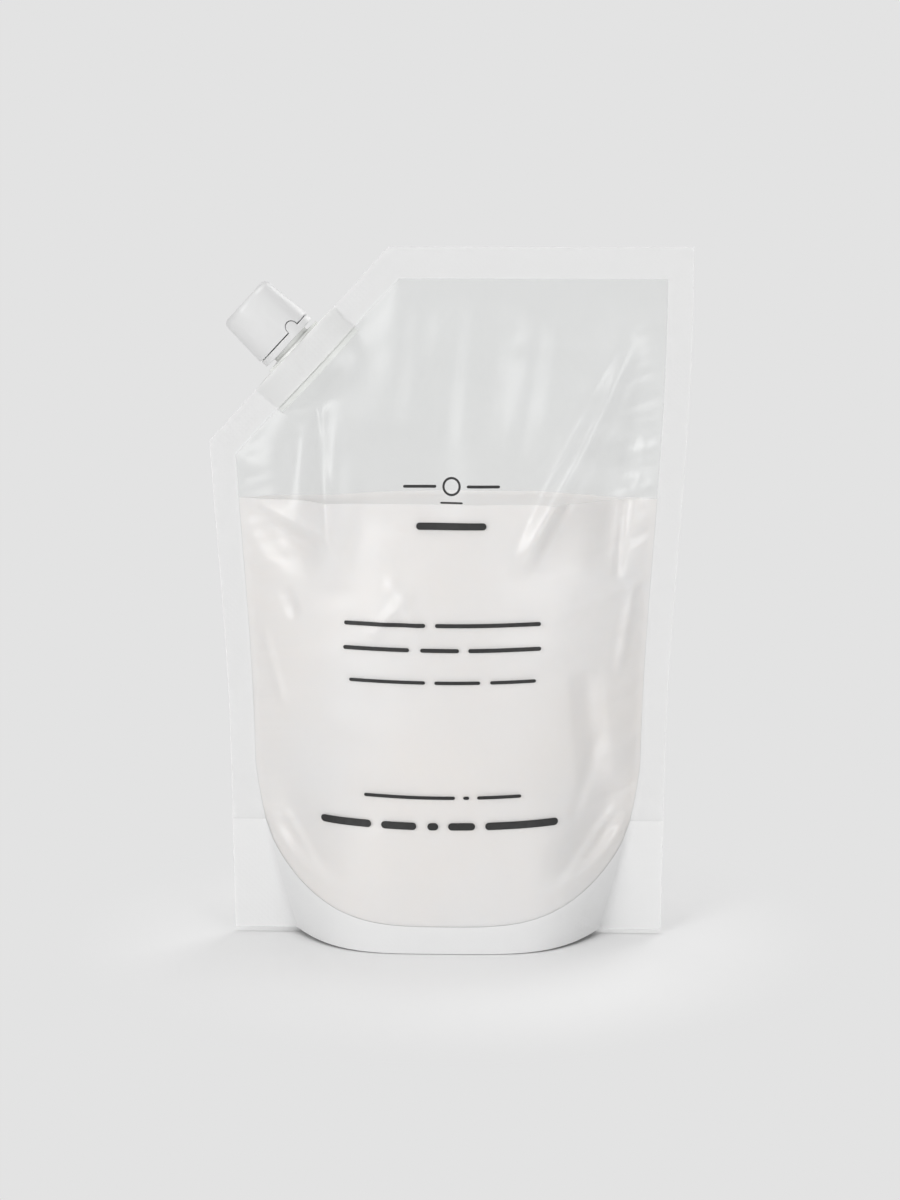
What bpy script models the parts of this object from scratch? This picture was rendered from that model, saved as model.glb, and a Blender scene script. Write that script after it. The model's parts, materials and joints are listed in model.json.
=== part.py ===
"""Stand-up refill pouch of liquid hand soap, with a screw-capped pour spout in its cut corner.

Metres, +Z up, front facing -Y, origin under the middle of the base. Two film panels and a folded
gusset are welded together round their edges. A full pouch bulges, and because film doesn't
stretch, the bulge draws the side welds in.
"""

import math

import bmesh
import bpy
from mathutils import Matrix, Vector

# Pouch, as cut from flat film and as it stands when full
FLAT_WIDTH = 0.155
HEIGHT = 0.224
FILM = 0.00015
SEAM_GAP = 0.00025
SIDE_SEAL = 0.008
TOP_SEAL = 0.010
BELLY_HALF_DEPTH = 0.0257
BELLY_SWELL = 0.0015
BELLY_HEIGHT = 0.052
BASE_SQUARENESS = 2.0

# Gusset: its fold stands this high in the side welds, and its weld dips to a skirt at the middle.
# The flat margin widens from the side weld to a fin at each lower corner, which lifts a little.
GUSSET_HEIGHT = 0.038
SKIRT_HEIGHT = 0.009
GUSSET_ARCH_POWER = 3.2
GUSSET_SAG = 0.0030
GUSSET_CREASE = 0.0015
GUSSET_CREASE_REACH = 0.25
FIN_HEIGHT = 0.058
CORNER_FIN = 0.0205
CORNER_LIFT = 0.0015

# Cut corner: the bulge rises from its weld at this slope
CUT_ACROSS = 0.0590
CUT_DOWN = 0.0617
CUT_SEAL = 0.009
SHOULDER_SLOPE = 0.46
BLEND_POWER = 4

# Fill: how far its surface lies below the top edge, and how near it comes to the film
HEADSPACE = 0.080
SOAP_CLEARANCE = 0.0004
SOAP_REACH = 0.7

# Spout: its place down the slanted edge, and its own sizes along its axis from that edge
SPOUT_PLACE = 0.0439
BOAT_LENGTH = 0.036
BOAT_WIDTH = 0.0135
BOAT_DEPTH = 0.011
BOAT_RIBS = 3
RIB_RELIEF = 0.0005
BOAT_CLEARANCE = 0.0004
BOAT_FADE = 0.020
FLANGE_LENGTH = 0.0218
FLANGE_WIDTH = 0.0154
FLANGE_THICKNESS = 0.0008
BORE_DIAMETER = 0.0105
NECK_WALL = 0.0017
NECK_ROOM = 0.0018
NECK_ROOT = 0.002
NECK_CHAMFER = 0.0004
BEAD_HEIGHT = 0.0008
BEAD_RELIEF = 0.0009

# Band and cap
BAND_FROM = 0.0025
BAND_HEIGHT = 0.0022
BAND_DIAMETER = 0.0208
LIP_HEIGHT = 0.0009
FIT_GAP = 0.0003
TAB_WIDTH = 0.0040
TAB_RISE = 0.0023
TAB_THICKNESS = 0.0010
TAB_TURN = 31.0
CAP_DIAMETER = 0.0214
CAP_TAPER = 0.0010
CAP_WALL = 0.0018
CAP_TOP_WALL = 0.0016
CAP_SHOULDER = 0.0020
CAP_HEIGHT = 0.0168
PLUG_LENGTH = 0.0035
PLUG_WALL = 0.0012
PLUG_CHAMFER = 0.0005

# How finely the shapes are cut
PANEL_COLUMNS = 24
PANEL_ROW = 0.0072
PATCH_CELL = 0.0045
LEAF_ROWS = 4
ARCH_ROWS = 10
ROUND_STEPS = 40
SHOULDER_STEPS = 4
LENS_STEPS = 28
ARCH_STEPS = 10
MERGE = 0.00001
SNAP = 0.0001

# Sizes that follow
LAYER = FILM + SEAM_GAP
BASE_HALF_DEPTH = BELLY_HALF_DEPTH - BELLY_SWELL
BULGE_TOP = HEIGHT - TOP_SEAL
SOAP_LEVEL = HEIGHT - HEADSPACE
CUT_HEIGHT = HEIGHT - CUT_DOWN
PATCH_REACH = BOAT_LENGTH / 2 + PATCH_CELL
PATCH_DEPTH = BOAT_DEPTH + BOAT_FADE
BORE_RADIUS = BORE_DIAMETER / 2
NECK_RADIUS = BORE_RADIUS + NECK_WALL
BEAD_RADIUS = NECK_RADIUS + BEAD_RELIEF
BEAD_FROM = BAND_FROM + LIP_HEIGHT + FIT_GAP
BAND_TOP = BAND_FROM + BAND_HEIGHT
CAP_FROM = BAND_TOP + FIT_GAP
CAP_END = CAP_FROM + CAP_HEIGHT
CAP_CEILING = CAP_END - CAP_TOP_WALL
NECK_TOP = CAP_CEILING - NECK_ROOM
CAP_RADIUS = CAP_DIAMETER / 2

# Folds in the filled film, as (from x, from z, to x, to z, half width, height), the height
# counted outwards. Each runs where the film is drawn between a corner and the bulge. They die
# out where the bulge is shallower than FOLD_START, and within WELD_STIFF of the gusset's weld.
FOLD_START = 0.008
WELD_STIFF = 0.007
FRONT_FOLDS = (
    (0.068, 0.200, 0.024, 0.126, 0.0070, 0.0042),
    (0.062, 0.168, 0.046, 0.112, 0.0075, -0.0042),
    (-0.040, 0.172, -0.043, 0.122, 0.0065, -0.0042),
    (-0.028, 0.176, -0.036, 0.116, 0.0065, 0.0034),
    (-0.066, 0.140, -0.040, 0.124, 0.0055, -0.0030),
    (0.006, 0.196, -0.010, 0.134, 0.0120, -0.0034),
    (0.034, 0.200, 0.010, 0.144, 0.0090, -0.0022),
    (-0.056, 0.056, -0.038, 0.014, 0.0080, -0.0030),
    (0.058, 0.056, 0.036, 0.012, 0.0080, -0.0036),
)
BACK_FOLDS = (
    (0.066, 0.196, 0.016, 0.130, 0.0085, 0.0036),
    (-0.038, 0.168, -0.034, 0.114, 0.0080, -0.0036),
    (0.060, 0.156, 0.046, 0.106, 0.0080, -0.0034),
    (0.006, 0.190, 0.000, 0.136, 0.0120, 0.0026),
    (-0.056, 0.054, -0.038, 0.014, 0.0080, -0.0028),
    (0.056, 0.054, 0.038, 0.014, 0.0080, -0.0028),
)

# Finishes, as (colour, roughness, alpha)
CLEAR_FILM = ((0.86, 0.87, 0.86), 0.22, 0.35)
CREAM_SOAP = ((0.90, 0.86, 0.78), 0.15, 0.8)
NATURAL_PLASTIC = ((0.88, 0.88, 0.86), 0.4, 1.0)
WHITE_PLASTIC = ((0.90, 0.90, 0.90), 0.35, 1.0)
CREASE_ANGLE = math.radians(40)
STAND = "pouch stand"


def smooth(value):
    """0 to 1 with a soft start and end."""
    value = min(max(value, 0.0), 1.0)
    return value * value * (3 - 2 * value)


def soft_least(first, second):
    """About the lesser of two lengths, with a rounded change from one to the other."""
    return (first**-BLEND_POWER + second**-BLEND_POWER) ** (-1 / BLEND_POWER)


def soft_most(first, second):
    """About the greater of two lengths, with a rounded change from one to the other."""
    return (first**BLEND_POWER + second**BLEND_POWER) ** (1 / BLEND_POWER)


def centre_half_depth(z):
    """How far the middle of a panel stands off the plane of the welds at this height."""
    if z < BELLY_HEIGHT:
        rise = math.sin(math.pi / 2 * max(z, 0.0) / BELLY_HEIGHT)
        return BASE_HALF_DEPTH + (BELLY_HALF_DEPTH - BASE_HALF_DEPTH) * rise
    share = min((z - BELLY_HEIGHT) / (BULGE_TOP - BELLY_HEIGHT), 1.0)
    return BELLY_HALF_DEPTH * math.cos(math.pi / 2 * share)


def weld_width(z):
    """Width of the flat margin at this height: the side weld, and below it the corner fin."""
    share = 1 - min(max(z / FIN_HEIGHT, 0.0), 1.0)
    return SIDE_SEAL + (CORNER_FIN - SIDE_SEAL) * share


def half_bulge(z):
    """Half the width of the bulge: a parabola as long as the film between the welds."""
    film = FLAT_WIDTH - 2 * weld_width(z)
    drawn = film**2 - 32 / 3 * centre_half_depth(z) ** 2
    return (film + math.sqrt(max(drawn, 0.0))) / 4


def half_width(z):
    return half_bulge(z) + weld_width(z)


def bulge_power(z):
    """Power of the bulge's outline across the pouch: a parabola, and squarer towards the base."""
    return 2 + BASE_SQUARENESS * smooth(1 - z / BELLY_HEIGHT)


# The slanted edge runs from the top edge to the side edge where the full pouch has drawn it
CUT_TOP = Vector((-FLAT_WIDTH / 2 + CUT_ACROSS, 0, HEIGHT))
CUT_FOOT = Vector((-half_width(CUT_HEIGHT), 0, CUT_HEIGHT))
CUT_EDGE = (CUT_FOOT - CUT_TOP).normalized()
CUT_OUT = Vector((CUT_EDGE.z, 0, -CUT_EDGE.x))
SPOUT_BASE = CUT_TOP + CUT_EDGE * SPOUT_PLACE
MIDDLE = (FLAT_WIDTH / 2 + CUT_FOOT.x) / 2


def gusset_weld_height(share):
    """Height of the curved weld between gusset and panel, from the middle (0) to the fin (1)."""
    arch = 1 - math.sqrt(1 - share**GUSSET_ARCH_POWER)
    return SKIRT_HEIGHT + (GUSSET_HEIGHT - SKIRT_HEIGHT) * arch


def lower_edge(share):
    """Height of the film's lower edge: on the ground where the base is open, lifted at the fins."""
    return CORNER_LIFT * share ** bulge_power(0.0)


def beyond_cut(x, z):
    """Distance outside the slanted edge, negative inside the pouch."""
    return (Vector((x, 0, z)) - CUT_TOP).dot(CUT_OUT)


def along_cut(x, z):
    """Distance along the slanted edge from the spout's axis, positive downwards."""
    return (Vector((x, 0, z)) - SPOUT_BASE).dot(CUT_EDGE)


def lens_half_width(along, length, width):
    """Half width of a boat-shaped outline at this distance from its middle."""
    share = min(abs(along) / (length / 2), 1.0)
    return width / 2 * (1 - share**2)


def fold_height(x, z, folds):
    """Sum of the folds at this place, each a soft ridge or valley that dies at both ends."""
    total = 0.0
    for from_x, from_z, to_x, to_z, width, height in folds:
        run = Vector((to_x - from_x, to_z - from_z))
        offset = Vector((x - from_x, z - from_z))
        share = offset.dot(run) / run.length_squared
        if 0 < share < 1:
            aside = (offset - share * run).length
            total += height * math.sin(math.pi * share) * math.exp(-((aside / width) ** 2))
    return total


def film_depth(x, z, folds):
    """How far the filled panel stands off the plane of the welds."""
    inside = -CUT_SEAL - beyond_cut(x, z)
    share = abs(x) / half_bulge(z)
    bulge = 0.0
    if share < 1 and z < BULGE_TOP and inside > 0:
        bulge = centre_half_depth(z) * (1 - share ** bulge_power(z))
        bulge = soft_least(bulge, SHOULDER_SLOPE * inside)
        free = smooth(bulge / FOLD_START)
        free *= smooth((z - gusset_weld_height(share)) / WELD_STIFF - 1)
        bulge += free * fold_height(x, z, folds)
    boat = lens_half_width(along_cut(x, z), BOAT_LENGTH, BOAT_WIDTH)
    if boat > 0:
        below = -beyond_cut(x, z) - BOAT_DEPTH
        around = (boat + BOAT_CLEARANCE) * (1 - smooth(below / BOAT_FADE))
        bulge = soft_most(bulge, around)
    return bulge


def welded_offset(z):
    """Middle of a panel's film from the plane of the welds: more where the gusset lies between."""
    between = 1 - smooth((z - GUSSET_HEIGHT) / SIDE_SEAL)
    return LAYER / 2 + LAYER * between


def new_object(name, mesh, collection, finish):
    """A mesh object with a material of its own, standing on the pouch's middle."""
    colour, roughness, alpha = finish
    material = bpy.data.materials.new(name)
    material.use_nodes = True
    shader = material.node_tree.nodes["Principled BSDF"]
    shader.inputs["Base Color"].default_value = (*colour, 1.0)
    shader.inputs["Roughness"].default_value = roughness
    shader.inputs["Alpha"].default_value = alpha
    mesh.materials.append(material)
    obj = bpy.data.objects.new(name, mesh)
    collection.objects.link(obj)
    obj.parent = bpy.data.objects[STAND]
    return obj


def mesh_from(shape, name):
    """A finished mesh with its faces turned outwards and its round parts shaded smooth."""
    bmesh.ops.recalc_face_normals(shape, faces=shape.faces)
    mesh = bpy.data.meshes.new(name)
    shape.to_mesh(mesh)
    shape.free()
    mesh.shade_smooth()
    mesh.set_sharp_from_angle(angle=CREASE_ANGLE)
    return mesh


def split_cells(shape):
    """Cuts every cell along its shorter diagonal, so that skins that lie together are cut alike."""
    bmesh.ops.triangulate(shape, faces=shape.faces, quad_method="SHORT_EDGE")


def solidify(obj, thickness):
    modifier = obj.modifiers.new("Film thickness", "SOLIDIFY")
    modifier.thickness = thickness
    modifier.offset = 0.0


def combine(obj, other, operation):
    modifier = obj.modifiers.new(f"{operation.title()} {other.name}", "BOOLEAN")
    modifier.object = other
    modifier.operation = operation


def hide_tool(obj):
    obj.hide_render = True
    obj.display_type = "WIRE"
    return obj


def numbered_grid(columns, rows):
    """A flat grid, and each of its points with the numbers of its column and its row."""
    shape = bmesh.new()
    bmesh.ops.create_grid(shape, x_segments=columns, y_segments=rows)
    points = []
    for index, vert in enumerate(shape.verts):
        row, column = divmod(index, columns + 1)
        points.append((vert, column, row))
    return shape, points


def divided(start, end, count):
    """This many evenly spaced values from start up to, but not with, end."""
    return [start + (end - start) * index / count for index in range(count)]


def spaced(start, end, step):
    """Values from start up to, but not with, end, about a step apart."""
    return divided(start, end, max(round((end - start) / step), 1))


def column_share(column):
    """Place of a grid column across the bulge, from -1 to 1 at the inner edges of the welds."""
    return (column - 1) / (PANEL_COLUMNS - 2) * 2 - 1


def edge_share(column):
    """Distance of a grid column from the middle, from 0 to 1 at the welds and past them."""
    return min(abs(column_share(column)), 1.0)


def column_place(column, z):
    """X of a grid column at this height: the outer strips are the welds."""
    if column in (0, PANEL_COLUMNS):
        return math.copysign(half_width(z), column - PANEL_COLUMNS / 2)
    return column_share(column) * half_bulge(z)


def filled_heights(column):
    """Rows of a panel up to the fill line. The lowest lie between the film's lower edge and the
    gusset's curved weld, and those above level out by the top of the fin."""
    weld = gusset_weld_height(edge_share(column))
    heights = divided(lower_edge(edge_share(column)), weld, LEAF_ROWS)
    heights += divided(weld, FIN_HEIGHT, len(spaced(SKIRT_HEIGHT, FIN_HEIGHT, PANEL_ROW)))
    return heights + spaced(FIN_HEIGHT, SOAP_LEVEL, PANEL_ROW) + [SOAP_LEVEL]


def panel_heights(column):
    """All rows of a panel, with one on each edge of the top weld."""
    above = spaced(SOAP_LEVEL, BULGE_TOP, PANEL_ROW)[1:]
    return filled_heights(column) + above + [BULGE_TOP, HEIGHT]


def whole(shape):
    return shape.verts[:] + shape.edges[:] + shape.faces[:]


def near_spout(shape, margin):
    """Faces of the flat panel within the spout's patch, widened by a margin."""
    found = []
    for face in shape.faces:
        x, _, z = face.calc_center_median()
        if abs(along_cut(x, z)) < PATCH_REACH + margin and -beyond_cut(x, z) < PATCH_DEPTH + margin:
            found.append(face)
    return found


def cut_faces(shape, faces, point, normal):
    cells = list(faces) + list({edge for face in faces for edge in face.edges})
    cells += list({vert for face in faces for vert in face.verts})
    bmesh.ops.bisect_plane(shape, geom=cells, dist=SNAP, plane_co=point, plane_no=normal)


def spout_patch(shape):
    """Replaces the grid round the spout by one square to the slanted edge, so film wraps the boat."""
    sides = [(SPOUT_BASE + CUT_EDGE * PATCH_REACH * side, CUT_EDGE) for side in (-1, 1)]
    for point, normal in sides + [(SPOUT_BASE - CUT_OUT * PATCH_DEPTH, CUT_OUT)]:
        cut_faces(shape, near_spout(shape, PANEL_ROW), point, normal)
    bmesh.ops.dissolve_faces(shape, faces=near_spout(shape, 0), use_verts=False)
    for along in spaced(-PATCH_REACH, PATCH_REACH, PATCH_CELL)[1:]:
        cut_faces(shape, near_spout(shape, 0), SPOUT_BASE + CUT_EDGE * along, CUT_EDGE)
    depths = [CUT_SEAL / 2, CUT_SEAL] + spaced(BOAT_DEPTH, PATCH_DEPTH, PATCH_CELL)
    for depth in depths:
        cut_faces(shape, near_spout(shape, 0), SPOUT_BASE - CUT_OUT * depth, CUT_OUT)
    edge_verts = [vert for vert in shape.verts if vert.is_boundary]
    close = bmesh.ops.find_doubles(shape, verts=shape.verts, keep_verts=edge_verts, dist=PATCH_CELL / 4)
    bmesh.ops.weld_verts(shape, targetmap=close["targetmap"])
    uneven = [face for face in shape.faces if len(face.verts) > 4]
    bmesh.ops.triangulate(shape, faces=uneven, quad_method="BEAUTY", ngon_method="BEAUTY")


def film_panel(name, side, folds, collection):
    """One panel: a flat grid, cut along the slant, then pushed out to the filled shape."""
    heights = [panel_heights(column) for column in range(PANEL_COLUMNS + 1)]
    shape, points = numbered_grid(PANEL_COLUMNS, len(heights[0]) - 1)
    for vert, column, row in points:
        z = heights[column][row]
        vert.co = Vector((column_place(column, z), 0, z))
    bmesh.ops.bisect_plane(
        shape, geom=whole(shape), dist=SNAP, plane_co=CUT_TOP, plane_no=CUT_OUT, clear_outer=True
    )
    weld_line = CUT_TOP - CUT_OUT * CUT_SEAL
    bmesh.ops.bisect_plane(shape, geom=whole(shape), dist=SNAP, plane_co=weld_line, plane_no=CUT_OUT)
    spout_patch(shape)
    for vert in shape.verts:
        x, _, z = vert.co
        vert.co.y = side * (film_depth(x, z, folds) + welded_offset(z))
    split_cells(shape)
    solidify(new_object(name, mesh_from(shape, name), collection, CLEAR_FILM), FILM)


def gusset_place(column, row, inset=0.0):
    """Point of the gusset: row 0 is its front lower edge, and the last row its back lower edge."""
    middle = LEAF_ROWS + ARCH_ROWS / 2
    side = -1 if row < middle else 1
    folds = FRONT_FOLDS if side < 0 else BACK_FOLDS
    from_edge = middle - abs(row - middle)
    if from_edge < LEAF_ROWS:
        z = filled_heights(column)[round(from_edge)]
        x = column_place(column, z)
        return Vector((x, side * (film_depth(x, z, folds) + LAYER / 2), z))
    weld = gusset_weld_height(edge_share(column))
    from_middle = abs(row - middle) / (ARCH_ROWS / 2)
    x = column_place(column, weld)
    span = film_depth(x, weld, folds) + LAYER / 2
    opened = smooth(span / BASE_HALF_DEPTH)
    sag = GUSSET_SAG * opened * (1 - from_middle**2)
    crease = GUSSET_CREASE * opened * max(1 - from_middle / GUSSET_CREASE_REACH, 0.0)
    return Vector((x, side * span * from_middle, weld - sag + crease + inset))


def bottom_gusset(name, collection):
    """One sheet, welded to both panels, that spans between them and folds at the side welds."""
    shape, points = numbered_grid(PANEL_COLUMNS, 2 * LEAF_ROWS + ARCH_ROWS)
    for vert, column, row in points:
        vert.co = gusset_place(column, row)
    split_cells(shape)
    solidify(new_object(name, mesh_from(shape, name), collection, CLEAR_FILM), FILM)


def soap_skin(column, step):
    """Point of the fill's skin: up the front, across the top, down the back and over the gusset."""
    heights = filled_heights(column)[LEAF_ROWS:]
    heights[0] += SOAP_CLEARANCE
    top = len(heights)
    if step >= 2 * top:
        return gusset_place(column, LEAF_ROWS + ARCH_ROWS - 1 - (step - 2 * top), LAYER)
    side, row = (-1, step) if step < top else (1, 2 * top - 1 - step)
    z = heights[row]
    x = column_share(column) * half_bulge(z)
    folds = FRONT_FOLDS if side < 0 else BACK_FOLDS
    return Vector((x, side * (film_depth(x, z, folds) - SOAP_CLEARANCE), z))


def soap_place(column, step):
    """As soap_skin, but the two end columns stop short of the side welds."""
    place = soap_skin(column, step)
    if column in (1, PANEL_COLUMNS - 1):
        inner = 2 if column == 1 else PANEL_COLUMNS - 2
        return soap_skin(inner, step).lerp(place, SOAP_REACH)
    return place


def liquid_soap(name, collection):
    """The fill, a closed skin just inside the film, with its level surface at the top."""
    steps = 2 * len(filled_heights(0)[LEAF_ROWS:]) + ARCH_ROWS - 1
    shape, points = numbered_grid(PANEL_COLUMNS - 2, steps)
    for vert, column, step in points:
        vert.co = soap_place(column + 1, step % steps)
    bmesh.ops.remove_doubles(shape, verts=shape.verts, dist=MERGE)
    split_cells(shape)
    rims = [edge for edge in shape.edges if edge.is_boundary]
    bmesh.ops.holes_fill(shape, edges=rims)
    new_object(name, mesh_from(shape, name), collection, CREAM_SOAP)


def on_spout(obj):
    """Stands an object on the slanted edge: its Z is the spout's axis and its X runs down the edge."""
    frame = Matrix((CUT_EDGE, CUT_OUT.cross(CUT_EDGE), CUT_OUT)).transposed()
    obj.location = SPOUT_BASE
    obj.rotation_euler = frame.to_euler()
    return obj


def lens_loft(sections):
    """A boat-shaped block through these sections of (height, length, width)."""
    shape, points = numbered_grid(LENS_STEPS, len(sections) - 1)
    for vert, column, level in points:
        height, length, width = sections[level]
        turn = 2 * math.pi * (column % LENS_STEPS) / LENS_STEPS
        x = length / 2 * math.cos(turn)
        y = math.copysign(lens_half_width(x, length, width), math.sin(turn))
        vert.co = Vector((x, y, height))
    bmesh.ops.remove_doubles(shape, verts=shape.verts, dist=MERGE)
    rims = [edge for edge in shape.edges if edge.is_boundary]
    bmesh.ops.holes_fill(shape, edges=rims)
    return shape


def boat_sections():
    """Weld ribs and grooves in turn from the bottom of the boat, then the flange on the edge."""
    band = BOAT_DEPTH / (2 * BOAT_RIBS + 1)
    sections = []
    for index in range(2 * BOAT_RIBS + 1):
        relief = 2 * RIB_RELIEF * (index % 2)
        for end in (index, index + 1):
            height = -BOAT_DEPTH + end * band
            sections.append((height, BOAT_LENGTH - relief, BOAT_WIDTH - relief))
    for height in (SEAM_GAP, SEAM_GAP + FLANGE_THICKNESS):
        sections.append((height, FLANGE_LENGTH, FLANGE_WIDTH))
    return sections


def turned(name, profile, collection, finish):
    """A turned piece on the spout's axis from a closed profile of (radius, height)."""
    shape = bmesh.new()
    points = [shape.verts.new((radius, 0, height)) for radius, height in profile]
    for index, point in enumerate(points):
        shape.edges.new((points[index - 1], point))
    mesh = bpy.data.meshes.new(name)
    shape.to_mesh(mesh)
    shape.free()
    obj = new_object(name, mesh, collection, finish)
    screw = obj.modifiers.new("Turned", "SCREW")
    screw.steps = ROUND_STEPS
    screw.render_steps = ROUND_STEPS
    screw.use_merge_vertices = True
    screw.merge_threshold = MERGE
    screw.use_smooth_shade = True
    return on_spout(obj)


def bore_tool(collection):
    """The bore, longer than the spout by the weld's width at both ends."""
    length = NECK_TOP + BOAT_DEPTH + 2 * CUT_SEAL
    shape = bmesh.new()
    bmesh.ops.create_cone(
        shape, cap_ends=True, segments=ROUND_STEPS, radius1=BORE_RADIUS, radius2=BORE_RADIUS, depth=length
    )
    bmesh.ops.translate(shape, verts=shape.verts, vec=(0, 0, (NECK_TOP - BOAT_DEPTH) / 2))
    tool = new_object("bore tool", mesh_from(shape, "bore tool"), collection, NATURAL_PLASTIC)
    return hide_tool(on_spout(tool))


def neck_form(collection):
    """The neck with its bead, solid until the bore is cut, and rooted in the boat."""
    bead_top = BEAD_FROM + BEAD_HEIGHT
    profile = [
        (0, NECK_TOP),
        (NECK_RADIUS - NECK_CHAMFER, NECK_TOP),
        (NECK_RADIUS, NECK_TOP - NECK_CHAMFER),
        (NECK_RADIUS, bead_top + BEAD_RELIEF / 2),
        (BEAD_RADIUS, bead_top),
        (BEAD_RADIUS, BEAD_FROM),
        (NECK_RADIUS, BEAD_FROM),
        (NECK_RADIUS, -NECK_ROOT),
        (0, -NECK_ROOT),
    ]
    return hide_tool(turned("neck form", profile, collection, NATURAL_PLASTIC))


def spout(name, collection, tools):
    """One moulding: ribbed boat, flange, beaded neck and the bore right through."""
    boat = mesh_from(lens_loft(boat_sections()), name)
    obj = on_spout(new_object(name, boat, collection, NATURAL_PLASTIC))
    combine(obj, neck_form(tools), "UNION")
    combine(obj, bore_tool(tools), "DIFFERENCE")


def arch_prism(name, grow, collection):
    """An arch-topped prism that crosses the cap's wall, its outline grown by a gap."""
    half = TAB_WIDTH / 2 + grow
    spring = CAP_FROM + TAB_RISE - TAB_WIDTH / 2
    foot = BAND_TOP - BAND_HEIGHT / 2
    outline = [(half, foot), (-half, foot)]
    for step in range(ARCH_STEPS + 1):
        turn = math.pi * (1 - step / ARCH_STEPS)
        outline.append((half * math.cos(turn), spring + half * math.sin(turn)))
    shape = bmesh.new()
    reach = BEAD_RADIUS + (CAP_RADIUS - CAP_WALL - BEAD_RADIUS) / 2
    face = shape.faces.new([shape.verts.new((x, reach, z)) for x, z in outline])
    pushed = bmesh.ops.extrude_face_region(shape, geom=[face])["geom"]
    moved = [item for item in pushed if isinstance(item, bmesh.types.BMVert)]
    bmesh.ops.translate(shape, verts=moved, vec=(0, CAP_DIAMETER - reach, 0))
    turn = Matrix.Rotation(math.radians(TAB_TURN), 4, "Z")
    bmesh.ops.transform(shape, matrix=turn, verts=shape.verts)
    tool = new_object(name, mesh_from(shape, name), collection, WHITE_PLASTIC)
    return hide_tool(on_spout(tool))


def tab_form(tools):
    """The band's tab: the part of a ring that lies within the arch."""
    outer = BAND_DIAMETER / 2
    inner = outer - TAB_THICKNESS
    top = CAP_FROM + TAB_RISE + FIT_GAP
    low = BAND_TOP - BAND_HEIGHT / 4
    profile = [(outer, top), (outer, low), (inner, low), (inner, top)]
    ring = hide_tool(turned("tab form", profile, tools, WHITE_PLASTIC))
    combine(ring, arch_prism("tab outline", 0.0, tools), "INTERSECT")
    return ring


def tamper_band(name, collection, tools):
    """The ring under the cap: its lip grips below the bead, and its tab stands in the cap's arch."""
    outer = BAND_DIAMETER / 2
    bead_clear = BEAD_RADIUS + FIT_GAP
    neck_clear = NECK_RADIUS + FIT_GAP
    lip_top = BAND_FROM + LIP_HEIGHT
    profile = [
        (outer, BAND_TOP),
        (outer, BAND_FROM + LIP_HEIGHT / 2),
        (outer - LIP_HEIGHT / 2, BAND_FROM),
        (neck_clear, BAND_FROM),
        (neck_clear, lip_top),
        (bead_clear, lip_top),
        (bead_clear, BAND_TOP),
    ]
    obj = turned(name, profile, collection, WHITE_PLASTIC)
    combine(obj, tab_form(tools), "UNION")


def screw_cap(name, collection, tools):
    """One hollow moulding: tapered wall, rounded shoulder, flat top and a plug for the bore."""
    inner = CAP_RADIUS - CAP_WALL
    narrow = CAP_RADIUS - CAP_TAPER
    plug_outer = BORE_RADIUS - FIT_GAP
    plug_inner = plug_outer - PLUG_WALL
    plug_end = CAP_CEILING - PLUG_LENGTH
    profile = [(0, CAP_END)]
    for step in range(SHOULDER_STEPS + 1):
        turn = math.pi / 2 * step / SHOULDER_STEPS
        radius = narrow - CAP_SHOULDER * (1 - math.sin(turn))
        profile.append((radius, CAP_END - CAP_SHOULDER * (1 - math.cos(turn))))
    profile += [
        (CAP_RADIUS, CAP_FROM),
        (inner, CAP_FROM),
        (inner - CAP_TAPER, CAP_CEILING),
        (plug_outer, CAP_CEILING),
        (plug_outer, plug_end + PLUG_CHAMFER),
        (plug_outer - PLUG_CHAMFER, plug_end),
        (plug_inner, plug_end),
        (plug_inner, CAP_CEILING),
        (0, CAP_CEILING),
    ]
    obj = turned(name, profile, collection, WHITE_PLASTIC)
    combine(obj, arch_prism("arch cut", FIT_GAP, tools), "DIFFERENCE")


def main():
    for obj in list(bpy.data.objects):
        bpy.data.objects.remove(obj, do_unlink=True)
    pouch = bpy.data.collections.new("Hand soap refill pack")
    tools = bpy.data.collections.new("Forms and cutters")
    for collection in (pouch, tools):
        bpy.context.scene.collection.children.link(collection)
    stand = bpy.data.objects.new(STAND, None)
    stand.location.x = -MIDDLE
    pouch.objects.link(stand)
    film_panel("front_film_panel", -1, FRONT_FOLDS, pouch)
    film_panel("back_film_panel", 1, BACK_FOLDS, pouch)
    bottom_gusset("bottom_gusset_film", pouch)
    liquid_soap("liquid_soap", pouch)
    spout("spout", pouch, tools)
    tamper_band("tamper_band", pouch, tools)
    screw_cap("screw_cap", pouch, tools)


main()
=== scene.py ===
"""Looks of the hand soap refill pack: folded laminate film with its welds, pearly soap, moulded
spout with its thread, tamper band, screw cap and plain print marks, on a pale studio floor."""

import json
import math

import bmesh
import bpy
import numpy as np
from mathutils import Matrix, Vector


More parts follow.
